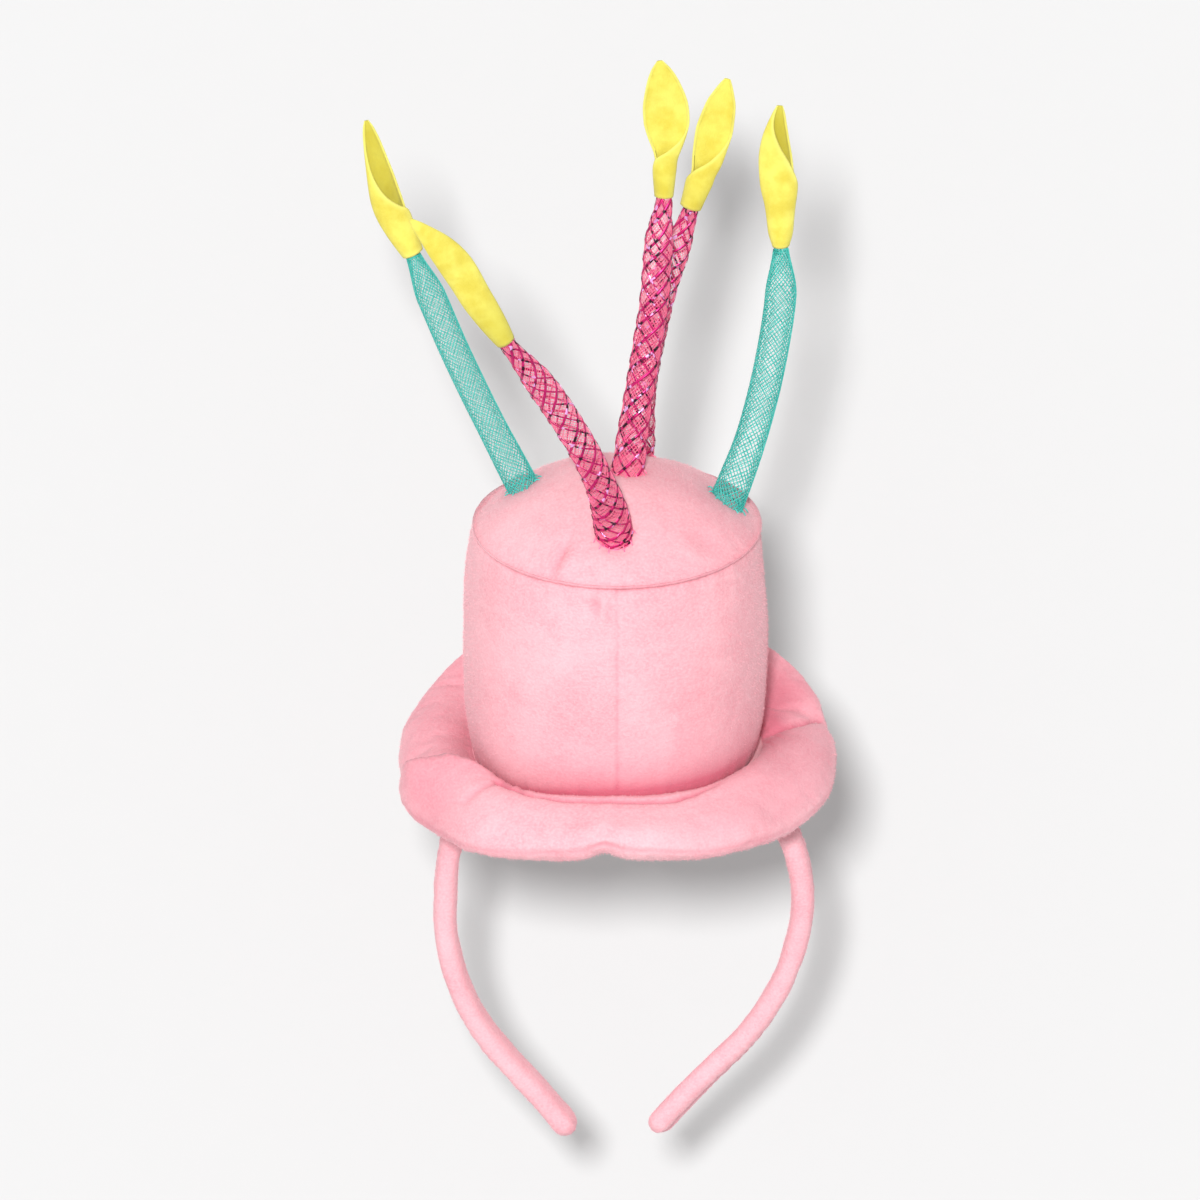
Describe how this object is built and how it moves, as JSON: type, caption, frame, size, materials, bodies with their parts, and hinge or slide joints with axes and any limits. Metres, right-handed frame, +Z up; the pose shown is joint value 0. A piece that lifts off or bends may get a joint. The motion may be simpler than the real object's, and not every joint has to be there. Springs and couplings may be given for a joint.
{
  "type": "novelty hat headband",
  "caption": "Plush-covered springy headband carrying a small stuffed cake-shaped top hat with mesh-tube candles and folded felt flames.",
  "frame": {"origin": "middle of the hoop's inner face at its top, where the head touches", "axes": "+Z up out of the hat, -Y towards the front of the hat, +X towards the right of someone looking at the front"},
  "size_m": [0.1748, 0.1599, 0.425],
  "materials": {
    "pink_plush": "short-pile velour, soft sheen",
    "fibre_filling": "white polyester fibre filling",
    "hoop_plastic": "satin moulded plastic strip",
    "sewing_thread": "twisted polyester thread",
    "teal_mesh": "woven nylon net tube, glossy filaments",
    "pink_mesh": "woven nylon net tube with crossed metallic threads",
    "yellow_felt": "matte needled felt"
  },
  "bodies": {
    "hat": {"hoop_bridge": "hoop_plastic", "sleeve_bridge": "pink_plush", "crown_side_panel": "pink_plush", "crown_top_panel": "pink_plush", "crown_stuffing": "fibre_filling", "brim_top_panel": "pink_plush", "brim_bottom_panel": "pink_plush", "brim_filling": "fibre_filling", "band_tack_left": "sewing_thread", "band_tack_right": "sewing_thread", "foot_stitch_left": "sewing_thread", "foot_stitch_front": "sewing_thread", "foot_stitch_centre": "sewing_thread", "foot_stitch_back": "sewing_thread", "foot_stitch_right": "sewing_thread"},
    "left_leg": {"hoop_leg_left": "hoop_plastic", "sleeve_leg_left": "pink_plush"},
    "right_leg": {"hoop_leg_right": "hoop_plastic", "sleeve_leg_right": "pink_plush"},
    "left_candle": {"candle_tube_left": "teal_mesh", "flame_left": "yellow_felt"},
    "front_candle": {"candle_tube_front": "pink_mesh", "flame_front": "yellow_felt"},
    "centre_candle": {"candle_tube_centre": "pink_mesh", "flame_centre": "yellow_felt"},
    "back_candle": {"candle_tube_back": "pink_mesh", "flame_back": "yellow_felt"},
    "right_candle": {"candle_tube_right": "teal_mesh", "flame_right": "yellow_felt"}
  },
  "joints": [
    {"name": "left_leg_flex", "type": "hinge", "parent": "hat", "child": "left_leg", "pos_m": [-0.0578, 0, -0.0135], "axis": [0, 1, 0], "range_deg": [-4, 16], "stiffness_Nm_per_rad": 0.9},
    {"name": "right_leg_flex", "type": "hinge", "parent": "hat", "child": "right_leg", "pos_m": [0.0602, 0, -0.0126], "axis": [0, -1, 0], "range_deg": [-4, 16], "stiffness_Nm_per_rad": 0.9},
    {"name": "left_candle_sway", "type": "hinge", "parent": "hat", "child": "left_candle", "pos_m": [-0.0345, 0.0095, 0.12], "axis": [0, 1, 0], "range_deg": [-10, 10], "stiffness_Nm_per_rad": 0.012},
    {"name": "front_candle_sway", "type": "hinge", "parent": "hat", "child": "front_candle", "pos_m": [-0.0011, -0.033, 0.122], "axis": [0, 1, 0], "range_deg": [-10, 10], "stiffness_Nm_per_rad": 0.012},
    {"name": "centre_candle_sway", "type": "hinge", "parent": "hat", "child": "centre_candle", "pos_m": [0.004, 0.0015, 0.131], "axis": [0, 1, 0], "range_deg": [-10, 10], "stiffness_Nm_per_rad": 0.012},
    {"name": "back_candle_sway", "type": "hinge", "parent": "hat", "child": "back_candle", "pos_m": [0.0075, 0.034, 0.121], "axis": [0, 1, 0], "range_deg": [-10, 10], "stiffness_Nm_per_rad": 0.012},
    {"name": "right_candle_sway", "type": "hinge", "parent": "hat", "child": "right_candle", "pos_m": [0.0405, 0.004, 0.1169], "axis": [0, 1, 0], "range_deg": [-10, 10], "stiffness_Nm_per_rad": 0.012}
  ]
}
